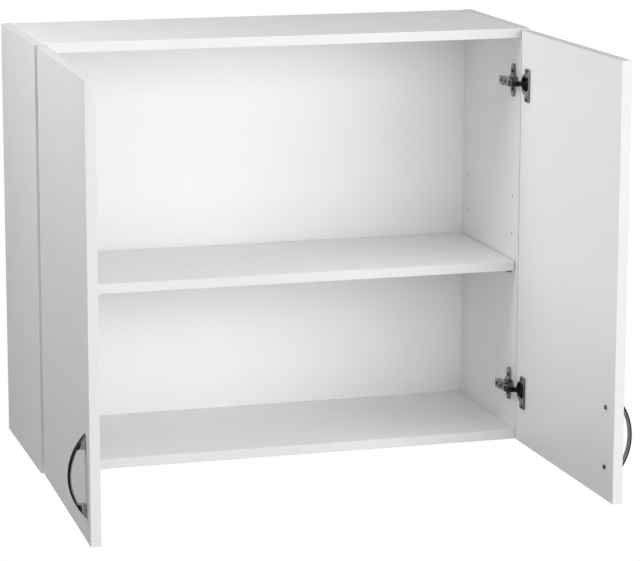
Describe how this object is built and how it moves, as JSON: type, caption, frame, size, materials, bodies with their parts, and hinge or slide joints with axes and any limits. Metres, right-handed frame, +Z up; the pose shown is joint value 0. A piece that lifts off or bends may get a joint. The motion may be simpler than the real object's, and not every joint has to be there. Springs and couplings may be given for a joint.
{
  "type": "hanging wall cabinet",
  "caption": "White wall-hung cupboard with side-hinged slab doors on cup hinges, bow handles and an adjustable shelf.",
  "frame": {"origin": "midpoint of the two hanging holes, on the wall plane", "axes": "+X along the wall to the right as one faces the doors, +Y into the wall, +Z up"},
  "size_m": [0.8962, 0.7251, 0.7],
  "materials": {
    "white_board": "satin white melamine over particle board, fine orange-peel texture",
    "white_hardboard": "white lacquered hardboard",
    "nickel": "dark nickel plated steel",
    "zinc": "bright zinc plated",
    "polished_handle": "polished dark chrome",
    "beech": "raw fluted beech"
  },
  "bodies": {
    "carcass": {"side_panel_left": "white_board", "side_panel_right": "white_board", "top_panel": "white_board", "bottom_panel": "white_board", "back_panel": "white_hardboard", "shelf": "white_board", "shelf_pins": "nickel", "dowels": "beech", "cam_bolts": "zinc", "cam_housings": "zinc", "hanging_plate_left": "zinc", "hanging_plate_right": "zinc", "hanging_screws": "zinc", "mounting_plate_left_top": "nickel", "mounting_plate_left_bottom": "nickel", "mounting_plate_right_top": "nickel", "mounting_plate_right_bottom": "nickel", "hinge_arm_left_top": "nickel", "hinge_arm_left_bottom": "nickel", "hinge_arm_right_top": "nickel", "hinge_arm_right_bottom": "nickel", "mounting_plate_screws": "nickel", "arm_screws": "nickel", "arm_pins": "nickel"},
    "outer_links_left": {"outer_link_left_top": "nickel", "outer_link_left_bottom": "nickel"},
    "inner_links_left": {"inner_link_left_top": "nickel", "inner_link_left_bottom": "nickel"},
    "door_left": {"door_left": "white_board", "handle_left": "polished_handle", "handle_screws_left": "nickel", "cup_screws_left": "nickel", "cup_pins_left": "nickel", "hinge_cup_left_top": "nickel", "hinge_cup_left_bottom": "nickel"},
    "outer_links_right": {"outer_link_right_top": "nickel", "outer_link_right_bottom": "nickel"},
    "inner_links_right": {"inner_link_right_top": "nickel", "inner_link_right_bottom": "nickel"},
    "door_right": {"door_right": "white_board", "handle_right": "polished_handle", "handle_screws_right": "nickel", "cup_screws_right": "nickel", "cup_pins_right": "nickel", "hinge_cup_right_top": "nickel", "hinge_cup_right_bottom": "nickel"}
  },
  "joints": [
    {"name": "right_outer_link_turn", "type": "hinge", "parent": "carcass", "child": "outer_links_right", "pos_m": [0.3815, -0.3103, 0], "axis": [0, 0, 1], "range_deg": [-1.17, 23.58]},
    {"name": "right_door_swing", "type": "hinge", "parent": "outer_links_right", "child": "door_right", "pos_m": [0.40474, -0.31953, 0], "axis": [0, 0, 1], "range_deg": [-114.58, 4.77]},
    {"name": "right_inner_link_turn", "type": "hinge", "parent": "carcass", "child": "inner_links_right", "pos_m": [0.3814, -0.306, 0], "axis": [0, 0, 1], "range_deg": [-1.14, 22.75]},
    {"name": "left_outer_link_turn", "type": "hinge", "parent": "carcass", "child": "outer_links_left", "pos_m": [-0.3815, -0.3103, 0], "axis": [0, 0, -1], "range_deg": [-1.17, 23.58]},
    {"name": "left_door_swing", "type": "hinge", "parent": "outer_links_left", "child": "door_left", "pos_m": [-0.40474, -0.31953, 0], "axis": [0, 0, -1], "range_deg": [-114.58, 4.77]},
    {"name": "left_inner_link_turn", "type": "hinge", "parent": "carcass", "child": "inner_links_left", "pos_m": [-0.3814, -0.306, 0], "axis": [0, 0, -1], "range_deg": [-1.14, 22.75]}
  ],
  "couplings": [
    {"joint": "right_outer_link_turn", "follows": "right_door_swing", "ratio": -0.20405},
    {"joint": "right_inner_link_turn", "follows": "right_door_swing", "ratio": -0.19682},
    {"joint": "left_outer_link_turn", "follows": "left_door_swing", "ratio": -0.20405},
    {"joint": "left_inner_link_turn", "follows": "left_door_swing", "ratio": -0.19682}
  ]
}
